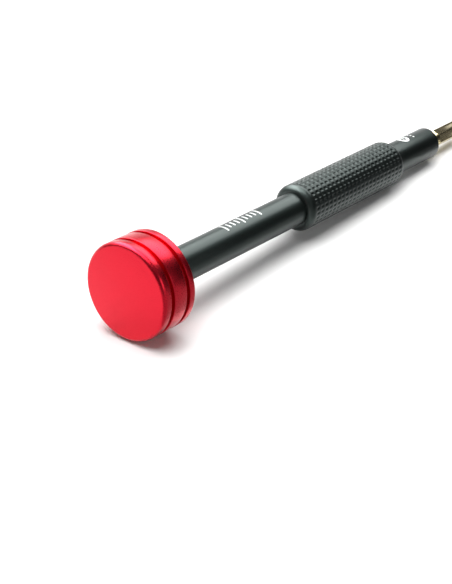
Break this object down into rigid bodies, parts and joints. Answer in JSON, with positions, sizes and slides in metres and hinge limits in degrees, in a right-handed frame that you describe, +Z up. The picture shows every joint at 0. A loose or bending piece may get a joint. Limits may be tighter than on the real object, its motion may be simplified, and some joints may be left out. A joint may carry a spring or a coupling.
{
  "type": "precision screwdriver",
  "caption": "Precision screwdriver: a cap that spins on a ball bearing, a slim barrel with a waffled grip sleeve, and a pull-out hexagonal bit with a cross-head point.",
  "frame": {"origin": "on the surface that the tool lies on, under the middle of its bounding box", "axes": "+X from the cap towards the tip, +Z up; the tool's own axis dips 3.38 degrees towards the tip, because it lies on the rim of the cap and the end of the grip"},
  "size_m": [0.1594, 0.022, 0.0225],
  "materials": {
    "red_anodised": "satin red anodised aluminium",
    "grey_anodised": "satin dark grey-green anodised aluminium",
    "bearing_steel": "ground bearing steel",
    "pressed_steel": "pressed sheet steel",
    "black_steel": "blackened steel",
    "nickel": "nickel plate",
    "gilt_steel": "polished steel with a pale gold tint"
  },
  "bodies": {
    "handle": {"barrel": "grey_anodised", "grip_sleeve": "grey_anodised", "socket_insert": "black_steel", "magnet": "nickel", "bearing_inner_race": "bearing_steel", "bearing_washer": "pressed_steel", "bearing_screw": "black_steel"},
    "cap": {"cap_shell": "red_anodised", "cap_rear_ring": "red_anodised", "bearing_outer_race": "bearing_steel", "bearing_shield_front": "pressed_steel", "bearing_shield_rear": "pressed_steel"},
    "ball_cage": {"bearing_cage": "pressed_steel", "bearing_ball_1": "bearing_steel", "bearing_ball_2": "bearing_steel", "bearing_ball_3": "bearing_steel", "bearing_ball_4": "bearing_steel", "bearing_ball_5": "bearing_steel", "bearing_ball_6": "bearing_steel", "bearing_ball_7": "bearing_steel"},
    "bit": {"bit": "gilt_steel"}
  },
  "joints": [
    {"name": "cap_spin", "type": "hinge", "parent": "handle", "child": "cap", "pos_m": [-0.07297, 0, 0.01119], "axis": [0.9983, 0, -0.059], "continuous": true},
    {"name": "cage_spin", "type": "hinge", "parent": "handle", "child": "ball_cage", "pos_m": [-0.07297, 0, 0.01119], "axis": [0.9983, 0, -0.059], "continuous": true},
    {"name": "bit_pull", "type": "slide", "parent": "handle", "child": "bit", "axis": [0.9983, 0, -0.059], "range_m": [0, 0.012]}
  ],
  "couplings": [
    {"joint": "cage_spin", "follows": "cap_spin", "ratio": 0.61333}
  ]
}
